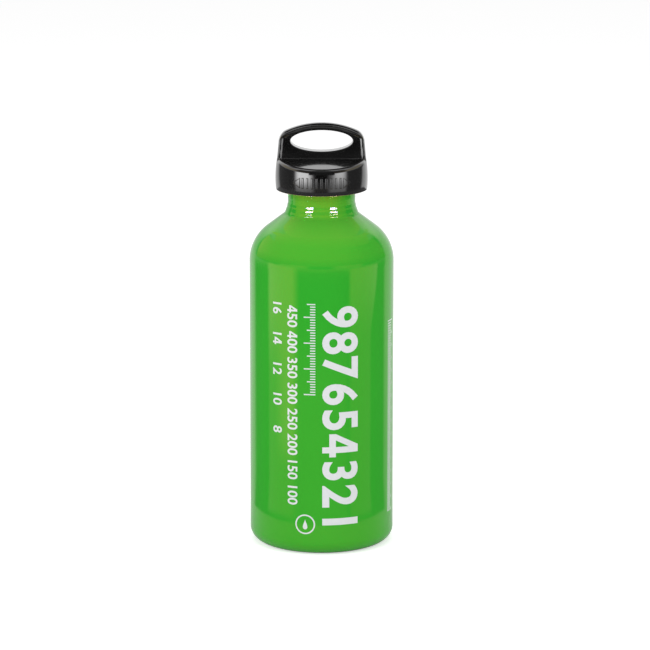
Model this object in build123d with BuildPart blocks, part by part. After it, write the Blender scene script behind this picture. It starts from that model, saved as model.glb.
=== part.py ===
from build123d import *
import os
from math import copysign, cos, radians, sin, sqrt, tan

os.makedirs("parts", exist_ok=True)

# Camping fuel bottle with a push-and-turn cap. Millimetres, +Z up, the origin on the axis at the foot.
# The loop of the cap lies in the XZ plane, so the bottle is looked at along +Y.

# Bottle: one impact-extruded aluminium can, drawn in to a thick threaded neck.
body_diameter = 72
lip_height = 181
body_wall = 0.9
base_wall = 1.4
base_corner_radius = 7
foot_width = 4
dish_depth = 3.6
dish_edge_radius = 2
shoulder_angle = 52.8
shoulder_radius = 21.3
neck_wall = 2.15
neck_height = 12.4
neck_root_radius = 4
neck_inside_radius = 1.5
bead_height = 2.2
bead_rise = 0.25
bead_drop = 5.6
lip_round = 0.5

# Thread: a ridge round the plug runs between the turns of a ridge inside the neck.
thread_diameter = 28.6
thread_depth = 1.2
thread_pitch = 3.5
thread_crest = 0.8
thread_flank_angle = 30
thread_clearance = 0.3
thread_drop = 0.8
plug_thread_turns = 2.5

# Seal ring between the lip and the flange of the plug.
gasket_thickness = 1.6
gasket_inset = 0.15
gasket_round = 0.4

# Plug: threaded stopper with driven teeth on top.
plug_wall = 2.3
plug_floor = 2.5
flange_reach = 3.25
flange_thickness = 2.8
flange_round = 0.4
seat_depth = 4.2
seat_wall = 2.1
vent_width = 2.4
vent_depth = 0.3
plug_chamfer = 1.1

# Face teeth: those on the plug are driven by those of the shell once it is pushed down.
tooth_count = 8
tooth_width = 3.6
tooth_ramp = 1.1
tooth_length = 5.75
tooth_margin = 1
plug_tooth_height = 2
shell_tooth_height = 2.5
tooth_gap = 0.4

# Lift spring under the shell.
spring_wire = 1
spring_turns = 4.5
spring_clearance = 1.7

# Retaining ring, snapped into a groove of the shell under the flange.
ring_thickness = 1.2
ring_lap = 1.5
ring_grip = 0.8
ring_slit = 4
ring_round = 0.2
running_gap = 0.3
groove_gap = 0.15

# Shell: the black cap with its carrying loop.
shell_clearance = 0.4
skirt_wall = 2.6
skirt_lip = 1.55
skirt_round = 0.8
skirt_belly_height = 6.6
mouth_draw = 0.3
foot_draw = 0.85
loop_draw = 1.1
rim_wall = 2.1
roof_slope = 8
rim_round = 1.9
loop_thickness = 8.8
loop_arch_radius = 44
loop_corner_radius = 2.8
pocket_depth = 0.8
border_width = 1
border_slope = 50
window_height = 11.2
window_side = 5.6
window_drop = 2.9
window_rise = 3.5
window_round = 0.5
web_root_radius = 0.7
post_clearance = 1.05
post_length = 3
room_corner_radius = 1

# Raised grip marks on the skirt, front and back.
mark_rise = 0.35
mark_height = 5.4
mark_width = 1.1
mark_count = 9
mark_step = 6
mark_start = 3.7
arrow_angle = 33
arrow_length = 4.4

# How far a cutter runs past what it cuts, and how deep an added piece is sunk.
overrun = 2
sink = 0.2

# Radii, from the thread outwards and inwards
body_radius = body_diameter / 2
thread_radius = thread_diameter / 2
bore_radius = thread_radius + thread_clearance
neck_radius = bore_radius + neck_wall
plug_root_radius = thread_radius - thread_depth
neck_thread_radius = plug_root_radius + thread_clearance
flange_radius = neck_radius + flange_reach
seat_radius = plug_root_radius - seat_wall
wire_radius = spring_wire / 2
spring_radius = seat_radius - spring_clearance - wire_radius
post_radius = spring_radius - wire_radius - post_clearance
shell_bore_radius = flange_radius + shell_clearance
ring_radius = shell_bore_radius + ring_grip
ring_inner_radius = flange_radius - ring_lap
skirt_radius = shell_bore_radius + skirt_wall
mouth_radius = skirt_radius - mouth_draw
foot_radius = skirt_radius - foot_draw
loop_radius = foot_radius - loop_draw

# The two ridges interleave, half a pitch apart, with the same clearance on every flank.
flank_slope = tan(radians(thread_flank_angle))
plug_ridge_foot = thread_crest / 2 + thread_depth * flank_slope
plug_ridge_there = thread_crest + 2 * (thread_radius - neck_thread_radius) * flank_slope
flank_gap = thread_clearance / cos(radians(thread_flank_angle))
neck_thread_crest = thread_pitch - plug_ridge_there - 2 * flank_gap
neck_thread_turns = plug_thread_turns - 1 / 2

# Heights, from the lip downwards and upwards
plug_thread_start = lip_height - thread_drop - plug_ridge_foot - plug_thread_turns * thread_pitch
neck_thread_start = plug_thread_start + thread_pitch / 2
plug_bottom = plug_thread_start - plug_ridge_foot - plug_chamfer
bead_level = lip_height - bead_drop
flange_bottom = lip_height + gasket_thickness
flange_top = flange_bottom + flange_thickness
ceiling = flange_top + plug_tooth_height + tooth_gap + shell_tooth_height
seat_level = flange_top - seat_depth
ring_top = flange_bottom - running_gap
ring_bottom = ring_top - ring_thickness
skirt_bottom = ring_bottom - groove_gap - skirt_lip
belly_level = skirt_bottom + skirt_belly_height

# The roof of the shell falls to the front and the back from a ridge along X.
web_thickness = loop_thickness - 2 * pocket_depth
rim_level = ceiling + rim_wall
roof_fall = tan(radians(roof_slope))
ridge_level = rim_level + (skirt_radius - web_thickness / 2) * roof_fall
loop_top = ridge_level + window_rise + window_height + window_drop


def dish_arc(depth, rim, floor):
    """Shallow arc of the pushed-in base, from the axis down to its rim."""
    sphere = (rim**2 + depth**2) / (2 * depth)
    middle = rim / 2
    rise = sqrt(sphere**2 - middle**2) - (sphere - depth)
    return ThreePointArc((0, floor + depth), (middle, floor + rise), (rim, floor))


def thread_ridge(root, crest, crest_width, start, turns):
    """Trapezoid carried up a helix, from its root, sunk in the wall that carries it, to its crest."""
    inward = copysign(sink, root - crest)
    root_width = crest_width + 2 * abs(root + inward - crest) * flank_slope
    with BuildPart() as ridge:
        with BuildLine() as path:
            Helix(pitch=thread_pitch, height=turns * thread_pitch, radius=crest, center=(0, 0, start))
        with BuildSketch(Plane.XZ):
            with BuildLine():
                Polyline(
                    (root + inward, start - root_width / 2),
                    (crest, start - crest_width / 2),
                    (crest, start + crest_width / 2),
                    (root + inward, start + root_width / 2),
                    close=True,
                )
            make_face()
        sweep(path=path.line, is_frenet=True)
    return ridge.part


# Bottle: the can with its base pushed in and its neck left thick, and the ridge of its thread
dish_radius = body_radius - base_corner_radius - foot_width
bottle_root = lip_height - neck_height
shoulder_turn = tan(radians(shoulder_angle))
crown = bottle_root - (body_radius - neck_radius) / shoulder_turn
inner_radius = body_radius - body_wall
shoulder_wall_drop = body_wall / sin(radians(shoulder_angle))
inner_root = bottle_root + (neck_radius - bore_radius) / shoulder_turn - shoulder_wall_drop
inner_crown = inner_root - (inner_radius - bore_radius) / shoulder_turn
with BuildPart() as bottle_shell:
    # Outer skin with the pushed-in base
    with BuildSketch(Plane.XZ):
        with BuildLine():
            dish_arc(dish_depth, dish_radius, 0)
            skin = FilletPolyline(
                (dish_radius, 0),
                (body_radius, 0),
                (body_radius, crown),
                (neck_radius, bottle_root),
                (neck_radius, lip_height),
                radius=(base_corner_radius, shoulder_radius, neck_root_radius),
            )
            Polyline(skin @ 1, (0, lip_height), (0, dish_depth))
        make_face()
    revolve(axis=Axis.Z)
    foot_edges = bottle_shell.edges().filter_by(GeomType.CIRCLE).group_by(Axis.Z)[0]
    fillet(foot_edges.sort_by(SortBy.LENGTH)[0], dish_edge_radius)
    # Reinforcing bead round the neck
    with BuildSketch(Plane.XZ):
        with BuildLine():
            ThreePointArc(
                (neck_radius, bead_level),
                (neck_radius + bead_rise, bead_level + bead_height / 2),
                (neck_radius, bead_level + bead_height),
            )
            Polyline(
                (neck_radius, bead_level + bead_height),
                (neck_radius - bead_height / 2, bead_level + bead_height / 2),
                (neck_radius, bead_level),
            )
        make_face()
    revolve(axis=Axis.Z)
    # Inside, with the neck left thick for its thread
    with BuildSketch(Plane.XZ):
        with BuildLine():
            floor = dish_arc(dish_depth, dish_radius, base_wall)
            hollow = FilletPolyline(
                (dish_radius, base_wall),
                (inner_radius, base_wall),
                (inner_radius, inner_crown),
                (bore_radius, inner_root),
                (bore_radius, lip_height + overrun),
                radius=(base_corner_radius - body_wall, shoulder_radius - body_wall, neck_inside_radius),
            )
            Polyline(hollow @ 1, (0, lip_height + overrun), floor @ 0)
        make_face()
    revolve(axis=Axis.Z, mode=Mode.SUBTRACT)
    lip = bottle_shell.edges().filter_by(GeomType.CIRCLE).group_by(Axis.Z)[-1]
    fillet(lip.sort_by(SortBy.LENGTH)[-1:], lip_round)
    add(thread_ridge(bore_radius, neck_thread_radius, neck_thread_crest, neck_thread_start, neck_thread_turns))
bottle_shell.part.label = "bottle_shell"
export_step(bottle_shell.part, "parts/bottle_shell.step")

# Seal ring on the lip
with BuildPart() as plug_gasket:
    with BuildSketch(Plane.XY.offset(lip_height)):
        Circle(neck_radius - gasket_inset)
        Circle(neck_thread_radius, mode=Mode.SUBTRACT)
    extrude(amount=gasket_thickness)
    fillet(plug_gasket.edges().filter_by(GeomType.CIRCLE), gasket_round)
plug_gasket.part.label = "plug_gasket"
export_step(plug_gasket.part, "parts/plug_gasket.step")


def tooth(base, height, ramp_side):
    """Face tooth: square where it tightens the cap, and ramped where it loosens it unless pressed."""
    inner = flange_radius - tooth_margin - tooth_length
    half_width = tooth_width / 2
    root = -copysign(sink, height)
    with BuildPart() as block:
        with BuildSketch(Plane((inner, 0, base), x_dir=(0, 1, 0), z_dir=(1, 0, 0))):
            with BuildLine():
                Polyline(
                    (-half_width * ramp_side, root),
                    (half_width * ramp_side, root),
                    ((half_width - tooth_ramp) * ramp_side, height),
                    (-half_width * ramp_side, height),
                    close=True,
                )
            make_face()
        extrude(amount=tooth_length)
    return block.part


# Threaded plug: flange, hollow threaded core, spring seat and driven teeth
with BuildPart() as threaded_plug:
    with BuildSketch(Plane.XZ):
        with BuildLine():
            Polyline(
                (0, plug_bottom),
                (plug_root_radius, plug_bottom),
                (plug_root_radius, flange_bottom),
                (flange_radius, flange_bottom),
                (flange_radius, flange_top),
                (seat_radius, flange_top),
                (seat_radius, seat_level),
                (0, seat_level),
                close=True,
            )
        make_face()
    revolve(axis=Axis.Z)
    rims = threaded_plug.edges().filter_by(GeomType.CIRCLE).sort_by(SortBy.RADIUS)
    fillet(rims.filter_by(lambda rim: rim.radius > flange_radius - sink), flange_round)
    foot_rim = threaded_plug.edges().filter_by(GeomType.CIRCLE).group_by(Axis.Z)[0]
    chamfer(foot_rim, plug_chamfer)
    with BuildSketch(Plane.XY.offset(plug_bottom)):
        Circle(plug_root_radius - plug_wall)
    extrude(amount=seat_level - plug_floor - plug_bottom, mode=Mode.SUBTRACT)
    add(thread_ridge(plug_root_radius, thread_radius, thread_crest, plug_thread_start, plug_thread_turns))
    # Vent slot across the thread
    with BuildSketch(Plane.XY.offset(plug_bottom)):
        with Locations((0, -plug_root_radius)):
            Rectangle(vent_width, 2 * vent_depth)
        with Locations((0, -thread_radius)):
            Rectangle(vent_width, 2 * thread_depth)
    extrude(amount=lip_height - plug_bottom, mode=Mode.SUBTRACT)
    with PolarLocations(0, tooth_count):
        add(tooth(flange_top, plug_tooth_height, -1))
threaded_plug.part.label = "threaded_plug"
export_step(threaded_plug.part, "parts/threaded_plug.step")

# Lift spring, its end turns cut flat by the seat and the roof
with BuildPart() as lift_spring:
    spring_start = seat_level + wire_radius / 2
    spring_rise = ceiling - seat_level - wire_radius
    with BuildLine() as coil:
        Helix(
            pitch=spring_rise / spring_turns,
            height=spring_rise,
            radius=spring_radius,
            center=(0, 0, spring_start),
        )
    with BuildSketch(Plane(coil.line @ 0, z_dir=coil.line % 0)):
        Circle(wire_radius)
    sweep(path=coil.line, is_frenet=True)
    with BuildSketch(Plane.XY.offset(seat_level)):
        Circle(seat_radius)
    extrude(amount=ceiling - seat_level, mode=Mode.INTERSECT)
lift_spring.part.label = "lift_spring"
export_step(lift_spring.part, "parts/lift_spring.step")

# Retaining ring, split so that it snaps into the shell
with BuildPart() as retaining_ring:
    with BuildSketch(Plane.XY.offset(ring_bottom)):
        Circle(ring_radius)
        Circle(ring_inner_radius, mode=Mode.SUBTRACT)
        with Locations((0, ring_radius)):
            Rectangle(ring_slit, ring_radius, mode=Mode.SUBTRACT)
    extrude(amount=ring_thickness)
    fillet(retaining_ring.edges().filter_by(GeomType.CIRCLE), ring_round)
retaining_ring.part.label = "retaining_ring"
export_step(retaining_ring.part, "parts/retaining_ring.step")

# Arch of the loop, from the axis to the corner above the pillar
arch_end = loop_top - loop_arch_radius + sqrt(loop_arch_radius**2 - loop_radius**2)
arch_middle = loop_top - loop_arch_radius + sqrt(loop_arch_radius**2 - (loop_radius / 2) ** 2)


def belly(bulge):
    """Arc up the side of the skirt, moved out by the bulge."""
    return ThreePointArc(
        (mouth_radius + bulge, skirt_bottom),
        (skirt_radius + bulge, belly_level),
        (foot_radius + bulge, ridge_level),
    )


# The front half of the roof, falling from the ridge to the rim
roof_start = loop_thickness / 2
roof_front = Plane((0, -skirt_radius, rim_level), x_dir=(1, 0, 0), z_dir=(0, -roof_fall, 1))

# Pocket in the front of the loop, its sides sloping in to the web
pillar_lean = (foot_radius - loop_radius) / (arch_end - ridge_level)
pocket_foot = loop_radius + (arch_end - flange_bottom) * pillar_lean
with BuildPart() as loop_pocket:
    with BuildSketch(Plane.XZ.offset(roof_start)):
        with BuildLine():
            ThreePointArc((loop_radius, arch_end), (0, loop_top), (-loop_radius, arch_end))
            Polyline(
                (-loop_radius, arch_end),
                (-pocket_foot, flange_bottom),
                (pocket_foot, flange_bottom),
                (loop_radius, arch_end),
            )
        face = make_face()
        fillet(face.vertices().group_by(Axis.Y)[-1], loop_corner_radius)
        offset(amount=-border_width, mode=Mode.REPLACE)
    extrude(amount=web_thickness / 2 - roof_start, taper=border_slope)
    split(bisect_by=roof_front, keep=Keep.TOP)

# Raised marks on the skirt, front and back: upright grip ribs between two arrowheads
mark_level = skirt_bottom + mark_start
rib_angles = [mark_step * (rib - (mark_count - 1) / 2) for rib in range(mark_count)]
with BuildPart() as skirt_marks:
    for side in (-90, 90):
        with BuildSketch(Plane.XY.offset(mark_level)):
            with Locations(*[Rotation(0, 0, side + angle) for angle in rib_angles]):
                with Locations((skirt_radius, 0)):
                    Rectangle(skirt_round, mark_width)
        extrude(amount=mark_height)
        for way in (-1, 1):
            turn = radians(side + way * arrow_angle)
            outward = Vector(cos(turn), sin(turn), 0)
            middle = outward * (skirt_radius - sink) + Vector(0, 0, mark_level + mark_height / 2)
            with BuildSketch(Plane(middle, x_dir=Vector(-sin(turn), cos(turn), 0) * way, z_dir=outward)):
                with BuildLine():
                    Polyline(
                        (-arrow_length / 2, -mark_height / 2),
                        (arrow_length / 2, 0),
                        (-arrow_length / 2, mark_height / 2),
                        close=True,
                    )
                make_face()
            extrude(amount=skirt_round, both=True)
    # The marks follow the belly of the skirt
    with BuildSketch(Plane.XZ):
        with BuildLine():
            belly(mark_rise)
            belly(-sink)
            Line((mouth_radius - sink, skirt_bottom), (mouth_radius + mark_rise, skirt_bottom))
            Line((foot_radius - sink, ridge_level), (foot_radius + mark_rise, ridge_level))
        make_face()
    revolve(axis=Axis.Z, mode=Mode.INTERSECT)

# Shell: skirt, roof and carrying loop in one moulding
half_tooth_step = 180 / tooth_count
with BuildPart() as cap_shell:
    with BuildSketch(Plane.XZ):
        with BuildLine():
            belly(0)
            Line((foot_radius, ridge_level), (loop_radius, arch_end))
            ThreePointArc((loop_radius, arch_end), (loop_radius / 2, arch_middle), (0, loop_top))
            Polyline((0, loop_top), (0, skirt_bottom), (mouth_radius, skirt_bottom))
        envelope = make_face()
        fillet(envelope.vertices().sort_by_distance((loop_radius, arch_end))[0], loop_corner_radius)
        fillet(envelope.vertices().sort_by_distance((mouth_radius, skirt_bottom))[0], skirt_round)
    revolve(axis=Axis.Z)
    # Roof planes in front of and behind the loop, with their rims rounded
    with BuildSketch(Plane.YZ):
        with BuildLine():
            Polyline(
                (-roof_start, rim_level + (skirt_radius - roof_start) * roof_fall),
                (-roof_start, loop_top + overrun),
                (-skirt_radius - overrun, loop_top + overrun),
                (-skirt_radius - overrun, rim_level - overrun * roof_fall),
                close=True,
            )
        make_face()
        mirror(about=Plane.YZ)
    extrude(amount=skirt_radius + overrun, both=True, mode=Mode.SUBTRACT)
    roofs = cap_shell.faces().filter_by(GeomType.PLANE).filter_by_position(Axis.Z, rim_level, ridge_level)
    fillet(roofs.edges().filter_by(GeomType.BSPLINE), rim_round)
    # Loop: a pocket on both faces, and the window through the web
    add(loop_pocket.part, mode=Mode.SUBTRACT)
    add(mirror(loop_pocket.part, about=Plane.XZ, mode=Mode.PRIVATE), mode=Mode.SUBTRACT)
    with BuildSketch(Plane.XZ):
        with Locations((0, loop_top - window_drop - window_height / 2)):
            Ellipse(loop_radius - window_side, window_height / 2)
    extrude(amount=loop_thickness, both=True, mode=Mode.SUBTRACT)
    webs = cap_shell.faces().filter_by(Axis.Y).sort_by(SortBy.AREA)[-2:]
    fillet(webs.edges().filter_by(lambda edge: edge.is_closed), window_round)
    feet = cap_shell.edges().filter_by(Axis.X).filter_by_position(Axis.Z, rim_level, ridge_level + sink)
    fillet(feet.sort_by(SortBy.LENGTH)[-2:], web_root_radius)
    # Inside: room for the plug's flange, the groove of the retaining ring and the post of the spring
    with BuildSketch(Plane.XZ):
        with BuildLine():
            room = FilletPolyline(
                (0, skirt_bottom - overrun),
                (shell_bore_radius, skirt_bottom - overrun),
                (shell_bore_radius, ceiling),
                (post_radius, ceiling),
                (post_radius, ceiling - post_length),
                (0, ceiling - post_length),
                radius=(0, room_corner_radius, 0, 0),
            )
            Line(room @ 1, room @ 0)
        make_face()
    revolve(axis=Axis.Z, mode=Mode.SUBTRACT)
    with BuildSketch(Plane.XY.offset(ring_bottom - groove_gap)):
        Circle(ring_radius + groove_gap)
        Circle(shell_bore_radius - sink, mode=Mode.SUBTRACT)
    extrude(amount=ring_thickness + 2 * groove_gap, mode=Mode.SUBTRACT)
    with PolarLocations(0, tooth_count, start_angle=half_tooth_step):
        add(tooth(ceiling, -shell_tooth_height, 1))
    add(skirt_marks.part)
cap_shell.part.label = "cap_shell"
export_step(cap_shell.part, "parts/cap_shell.step")
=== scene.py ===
# %% [markdown]
# # A camping fuel bottle
# The real object is one aluminium can, sprayed with a gloss green enamel, under a black moulded cap
# with a carrying loop. Everything here is in metres and stands where the CAD model stands. The sizes
# below are written in millimetres, as on a drawing, and are turned into metres when a mesh is made.

import bmesh
import bpy
import numpy as np
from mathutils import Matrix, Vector


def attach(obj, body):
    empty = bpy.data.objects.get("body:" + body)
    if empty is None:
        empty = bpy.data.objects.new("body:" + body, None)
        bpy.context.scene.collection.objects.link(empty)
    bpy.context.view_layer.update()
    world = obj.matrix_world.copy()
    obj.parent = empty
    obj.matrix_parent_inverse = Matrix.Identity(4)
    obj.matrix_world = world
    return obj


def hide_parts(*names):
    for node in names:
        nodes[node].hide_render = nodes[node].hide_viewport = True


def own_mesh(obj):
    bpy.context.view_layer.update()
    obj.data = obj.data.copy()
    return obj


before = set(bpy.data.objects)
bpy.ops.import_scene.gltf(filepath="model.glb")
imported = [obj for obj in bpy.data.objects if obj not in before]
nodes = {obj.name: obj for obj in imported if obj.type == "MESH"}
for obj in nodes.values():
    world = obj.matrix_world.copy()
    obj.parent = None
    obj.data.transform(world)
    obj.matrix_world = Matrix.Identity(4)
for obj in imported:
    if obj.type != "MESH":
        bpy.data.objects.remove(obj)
scene = bpy.context.scene
MM = 0.001
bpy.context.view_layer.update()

# %% [markdown]
# ## Camera
# The photograph looks slightly down on the bottle, from far away: its ellipses at the foot and at the
# neck give 12.4 degrees, and their difference gives the distance. A long lens at the same place gives
# the same flattening. A small shift stands for the few pixels by which the bottle is off centre.

# %% Camera at the photograph's angle
aim, stand = Vector((0.0, 0.0, 0.108)), Vector((0.0, -1.8, 0.505))
focal_pixels, picture_pixels, film = 3677, 650, 36
camera_data = bpy.data.cameras.new("camera")
camera_data.lens, camera_data.sensor_width = focal_pixels / picture_pixels * film, film
camera_data.shift_x, camera_data.shift_y = 0.0052, 0.0060
camera_data.clip_start, camera_data.clip_end = 0.05, 60
camera = bpy.data.objects.new("camera", camera_data)
camera.location = stand
camera.rotation_euler = (aim - stand).to_track_quat("-Z", "Y").to_euler()
scene.collection.objects.link(camera)
scene.camera = camera
print("camera pitch", round(np.degrees(np.arctan2(stand.z - aim.z, -stand.y)), 2), "degrees")

# %% [markdown]
# ## Shader maths
# A procedural material is a small formula. Written out with nodes it needs dozens of lines, so one
# class wraps a socket: adding or multiplying wires adds a Math node, and `add` makes any other node.


# %% A socket that can be calculated with
def feed(socket, value):
    """Links a wire to a socket, or sets the socket to a plain value."""
    if isinstance(value, Wire):
        value.tree.links.new(value.socket, socket)
    else:
        socket.default_value = value


class Wire:
    """A socket of a node tree. Sums, differences and products of wires become Math nodes."""

    def __init__(self, tree, socket=None):
        self.tree, self.socket = tree, socket

    def add(self, kind, settings=None, sockets=None, out=0):
        """Adds a node: first its settings, then a value or a link for each socket."""
        made = self.tree.nodes.new(f"ShaderNode{kind}")
        for key, value in (settings or {}).items():
            setattr(made, key, value)
        for key, value in (sockets or {}).items():
            feed(made.inputs[key], value)
        return Wire(self.tree, made.outputs[out])

    def sum_up(self, operation, first, second):
        """One Math node on two values."""
        return self.add("Math", {"operation": operation}, {0: first, 1: second, 2: 0.0})

    def __add__(self, other):
        return self.sum_up("ADD", self, other)

    __radd__ = __add__

    def __sub__(self, other):
        return self.sum_up("SUBTRACT", self, other)

    def __mul__(self, other):
        return self.sum_up("MULTIPLY", self, other)

    def ramp(self, low, high):
        """0 below the low value, 1 above the high one, and smooth in between."""
        sockets = {"Value": self, "From Min": low, "From Max": high}
        return self.add("MapRange", {"interpolation_type": "SMOOTHSTEP"}, sockets)

    def mix(self, zero, one):
        """A colour that runs from zero to one as this value does."""
        return self.add("Mix", {"data_type": "RGBA"}, {0: self, 6: zero, 7: one}, out=2)


def paint(name):
    """A new material, with a wire to start its formulas from, and its Principled shader."""
    material = bpy.data.materials.new(name)
    material.use_nodes = True
    shader = next(n for n in material.node_tree.nodes if n.type == "BSDF_PRINCIPLED")
    return material, Wire(material.node_tree), shader


def plug_in(shader, **values):
    """Sets or links the shader's sockets, Base_Color standing for Base Color."""
    for key, value in values.items():
        feed(shader.inputs[key.replace("_", " ")], value)


def grey(level):
    """A neutral colour."""
    return (level, level, level, 1.0)


print("shader helpers ready")

# %% [markdown]
# ## Meshes from arrays
# A turned or moulded part is a grid of points: one parameter along its section, the other round the
# axis. The section is a polyline with rounded corners, just as in the CAD source, so that both have
# the same shape. Closed sections meet the axis in one point, a pole, which gets a fan of triangles.


# %% Sections with rounded corners
def rounded(corners, radii, steps=12):
    """Polyline through the corners, each inner one replaced by the arc that touches both its sides.

    The arc's centre lies on the corner's bisector, at radius / sin(half the corner's angle).
    A quarter circle gets the given number of steps, and other arcs their share of it."""
    corners = np.asarray(corners, float)
    path = [corners[:1]]
    for before, corner, after, radius in zip(corners, corners[1:], corners[2:], radii):
        one, two = before - corner, after - corner
        one, two = one / np.linalg.norm(one), two / np.linalg.norm(two)
        half = np.arccos(np.clip(one @ two, -1, 1)) / 2
        bisector = (one + two) / np.linalg.norm(one + two)
        centre = corner + bisector * radius / np.sin(half)
        first, last = corner + one * radius / np.tan(half), corner + two * radius / np.tan(half)
        start = np.arctan2(*(first - centre)[::-1])
        sweep = np.arctan2(*(last - centre)[::-1]) - start
        sweep = (sweep + np.pi) % (2 * np.pi) - np.pi
        count = max(4, int(np.ceil(abs(sweep) / (np.pi / 2) * steps)) + 1)
        angle = np.linspace(start, start + sweep, count)
        path.append(centre + radius * np.stack([np.cos(angle), np.sin(angle)], axis=1))
    path.append(corners[-1:])
    return np.concatenate(path)


def split_long(path, longest):
    """Adds points on the straight runs, so that no step is longer than the given one."""
    step = np.linalg.norm(np.diff(path, axis=0), axis=1)
    counts = np.maximum(1, np.ceil(step / longest).astype(int))
    start = np.repeat(np.arange(len(counts)), counts)
    share = np.concatenate([np.arange(n) / n for n in counts])[:, None]
    return np.concatenate([path[start] * (1 - share) + path[start + 1] * share, path[-1:]])


print("a right angle with a 2 mm corner:", len(rounded([(0, 0), (5, 0), (5, 5)], [2])), "points")


# %% [markdown]
# ## From a grid to an object
# `bmesh` could add the faces one by one, but filling the mesh's arrays is quicker for thousands of
# quads. A piece then rides on a body of the CAD model, to move with its joints. A spring or a thread
# is a tube: a grid closed round itself, with a point, a pole, in the middle of each end.


# %% Grids of points become meshes
def grid_faces(rows, columns, wrap_rows=False, wrap_columns=False):
    """The quads of a grid, row by row; a wrapped direction joins its last line to its first."""
    r = np.arange(rows if wrap_rows else rows - 1)[:, None]
    c = np.arange(columns if wrap_columns else columns - 1)[None, :]
    r2, c2 = (r + 1) % rows, (c + 1) % columns
    corners = [r * columns + c, r2 * columns + c, r2 * columns + c2, r * columns + c2]
    return np.stack([np.broadcast_to(q, corners[0].shape).ravel() for q in corners], axis=1)


def tube_faces(rows, columns):
    """Outward faces of a closed tube: the grid's quads and a fan at each end, to poles that come
    after the grid's points."""
    here, there = np.arange(columns), (np.arange(columns) + 1) % columns
    pole, end = rows * columns, (rows - 1) * columns
    return np.concatenate([
        grid_faces(rows, columns, wrap_columns=True)[:, ::-1],
        np.stack([0 * here + pole, there, here, here], axis=1),
        np.stack([0 * here + pole + 1, end + here, end + there, end + there], axis=1)])


def mesh_object(name, points, faces):
    """One object from points in millimetres and quads, of which those whose last two corners are
    the same are triangles."""
    keep = np.ones(faces.shape, bool)
    keep[:, 3] = faces[:, 3] != faces[:, 2]
    sizes = keep.sum(axis=1)
    mesh = bpy.data.meshes.new(name)
    mesh.vertices.add(len(points))
    mesh.vertices.foreach_set("co", (np.asarray(points) * MM).astype(np.float32).ravel())
    mesh.loops.add(int(sizes.sum()))
    mesh.loops.foreach_set("vertex_index", faces[keep].astype(np.int32))
    mesh.polygons.add(len(faces))
    starts = np.concatenate([[0], np.cumsum(sizes)[:-1]]).astype(np.int32)
    mesh.polygons.foreach_set("loop_start", starts)
    mesh.polygons.foreach_set("use_smooth", np.full(len(faces), True))
    mesh.update(calc_edges=True)
    mesh.validate()
    made = bpy.data.objects.new(name, mesh)
    scene.collection.objects.link(made)
    print(f"{name}: {len(points)} points, {len(faces)} faces")
    return made


def make_piece(name, points, faces, body, slot):
    """A mesh object that rides on a body of the CAD model. The slot is not used."""
    made = mesh_object(name, points, faces)
    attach(made, body)
    return made


def turned(section, steps):
    """Carries a section of (radius, height) round the axis: (r cos a, r sin a, z).

    The section starts and ends on the axis, where each end is one point, closed with a fan."""
    radius, height = section[1:-1, :1], section[1:-1, 1:]
    angle = np.arange(steps) * 2 * np.pi / steps
    ring = np.stack([radius * np.cos(angle), radius * np.sin(angle), height + 0 * angle], axis=2)
    poles = [[0, 0, section[0, 1]], [0, 0, section[-1, 1]]]
    return np.concatenate([ring.reshape(-1, 3), poles]), tube_faces(len(radius), steps)


print("mesh helpers ready")

# %% [markdown]
# ## The can
# The bottle is drawn from one disc of aluminium: a pushed-in base, a straight body, a shoulder with
# a large soft radius, and a neck left thick for its thread. One section, outside and inside, turned
# round the axis, is the truest way to make it, since every highlight on it runs along that section.

# %% Section of the can
BODY, NECK, BORE, LIP = 36.0, 16.75, 14.6, 181.0
WALL, BASE, DISH, FOOT = 0.9, 1.4, 3.6, 25
SHOULDER = np.radians(52.8)
root = LIP - 12.4
crown = root - (BODY - NECK) / np.tan(SHOULDER)
inner_root = root + (NECK - BORE) / np.tan(SHOULDER) - WALL / np.sin(SHOULDER)
inner_crown = inner_root - (BODY - WALL - BORE) / np.tan(SHOULDER)


def dish(depth, rim, floor, steps=40):
    """Shallow arc of the base: its sphere has the radius (rim squared + depth squared) / 2 depth."""
    sphere = (rim**2 + depth**2) / (2 * depth)
    radius = np.linspace(0, rim, steps)
    height = np.sqrt(sphere**2 - radius**2) - (sphere - depth) + floor
    return np.stack([radius, height], axis=1)


under = dish(DISH, FOOT, 0)[:-2]
# Above the shoulder the neck starts with two faintly hollow steps, and near its top runs a low bead
foot = rounded([under[-1], (FOOT, 0), (BODY, 0), (BODY, crown), (18.38, 167.36), (17.764, 169.2),
                (17.404, 170.1), (17.12, 171.0), (17.10, 171.55), (16.912, 172.25), (NECK, 172.95),
                (NECK, 174.9), (NECK + 0.055, 175.6), (NECK, 177.1), (NECK, 177.6)],
               [0.9, 7, 21.3, 3.5, 6, 10, 1, 1, 10, 1.5, 1.5, 0.8, 1.2, 1.5], steps=40)
lip = rounded([(NECK, 177.6), (NECK, LIP), (BORE, LIP), (BORE, inner_root + 4)], [0.5, 0.5], steps=8)
inside = rounded([lip[-1], (BORE, inner_root), (BODY - WALL, inner_crown), (BODY - WALL, BASE),
                  (FOOT, BASE)], [1.5, 20.4, 6.1], steps=30)
floor = dish(DISH, FOOT, BASE)[::-1]
can_section = split_long(np.concatenate([under, foot[1:], lip[1:], inside[1:-1], floor]), 4.0)
step = np.linalg.norm(np.diff(can_section, axis=0), axis=1)
can_section = can_section[np.concatenate([[True], step > 1e-6])]
print("section of the can:", len(can_section), "points, crown at", round(crown, 2))

# %% [markdown]
# ## One piece, two surfaces
# The enamel covers the outside and ends at the lip; inside, the metal stays bare. The can could be
# split there, but a real one is a single piece. So a number on each point says on which side of the
# lip it lies, and the finish reads it later.

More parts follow.
